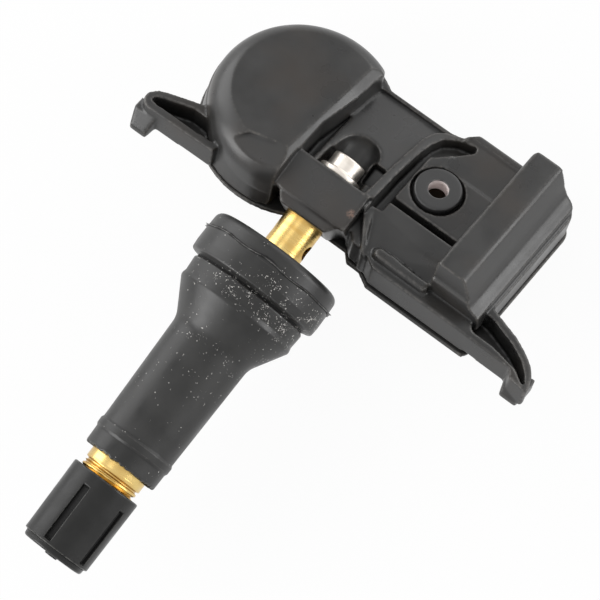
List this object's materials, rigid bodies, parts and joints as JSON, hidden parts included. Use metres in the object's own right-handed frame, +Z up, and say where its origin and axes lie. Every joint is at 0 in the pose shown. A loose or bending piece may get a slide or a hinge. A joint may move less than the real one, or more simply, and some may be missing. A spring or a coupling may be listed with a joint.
{
  "type": "tyre pressure sensor",
  "caption": "Snap-in tyre pressure sensor: a moulded housing with a battery dome, a pressure port and hook arms, clamped by a screw to a rubber valve stem with a brass insert and a cap.",
  "frame": {"origin": "on the stem's axis where the rubber flange's outer face meets the rim", "axes": "+Y along the stem into the wheel, the valve cap lies towards -Y; +Z up through the side with the battery dome and the pressure port; +X towards the pressure port"},
  "size_m": [0.0612, 0.0759, 0.0207],
  "materials": {
    "housing_plastic": "moulded black nylon with a fine satin grain",
    "base_plastic": "moulded black nylon",
    "board_green": "green solder mask",
    "cell_steel": "nickel plated steel can",
    "tab_nickel": "nickel strip",
    "chip_black": "black moulded epoxy",
    "ferrite": "dark sintered ferrite",
    "copper_wire": "enamelled copper",
    "ceramic_tan": "tan ceramic with tinned ends",
    "seal_rubber": "smooth black silicone rubber",
    "sleeve_pale": "pale pinkish tube",
    "vent_dark": "dark vent felt",
    "screw_nickel": "bright nickel plating",
    "stem_brass": "turned bright brass",
    "stem_rubber": "moulded black rubber with white dust",
    "core_brass": "turned brass",
    "gasket_red": "red sealing ring",
    "spring_steel": "drawn spring wire",
    "cap_plastic": "moulded black plastic",
    "liner_rubber": "dark rubber disc"
  },
  "bodies": {
    "sensor": {"housing_shell": "housing_plastic", "base_cover": "base_plastic", "circuit_board": "board_green", "coin_cell": "cell_steel", "cell_tab_top": "tab_nickel", "cell_tab_bottom": "tab_nickel", "pressure_chip": "chip_black", "controller_chip": "chip_black", "timing_crystal": "tab_nickel", "pickup_core": "ferrite", "pickup_winding": "copper_wire", "loop_antenna": "copper_wire", "capacitors": "ceramic_tan", "port_seal": "seal_rubber", "port_sleeve": "sleeve_pale", "port_vent": "vent_dark", "clamp_screw": "screw_nickel", "stem_insert": "stem_brass", "rubber_stem": "stem_rubber", "core_body": "core_brass", "core_gasket": "gasket_red", "core_spring": "spring_steel"},
    "core_plunger": {"core_pin": "core_brass", "core_disc": "seal_rubber"},
    "cap_seal": {"cap_liner": "liner_rubber"},
    "cap": {"valve_cap": "cap_plastic"}
  },
  "joints": [
    {"name": "core_press", "type": "slide", "parent": "sensor", "child": "core_plunger", "axis": [0, 1, 0], "range_m": [0, 0.0012], "stiffness_N_per_m": 900, "springref_m": -0.001, "deforming": ["core_spring"]},
    {"name": "cap_lift", "type": "slide", "parent": "sensor", "child": "cap_seal", "axis": [0, -1, 0], "range_m": [0, 0.009]},
    {"name": "cap_turn", "type": "hinge", "parent": "cap_seal", "child": "cap", "pos_m": [0, -0.0389, 0], "axis": [0, -1, 0], "range_deg": [0, 4085]}
  ],
  "couplings": [
    {"joint": "cap_turn", "follows": "cap_lift", "rad_per_m": 7913.3}
  ]
}
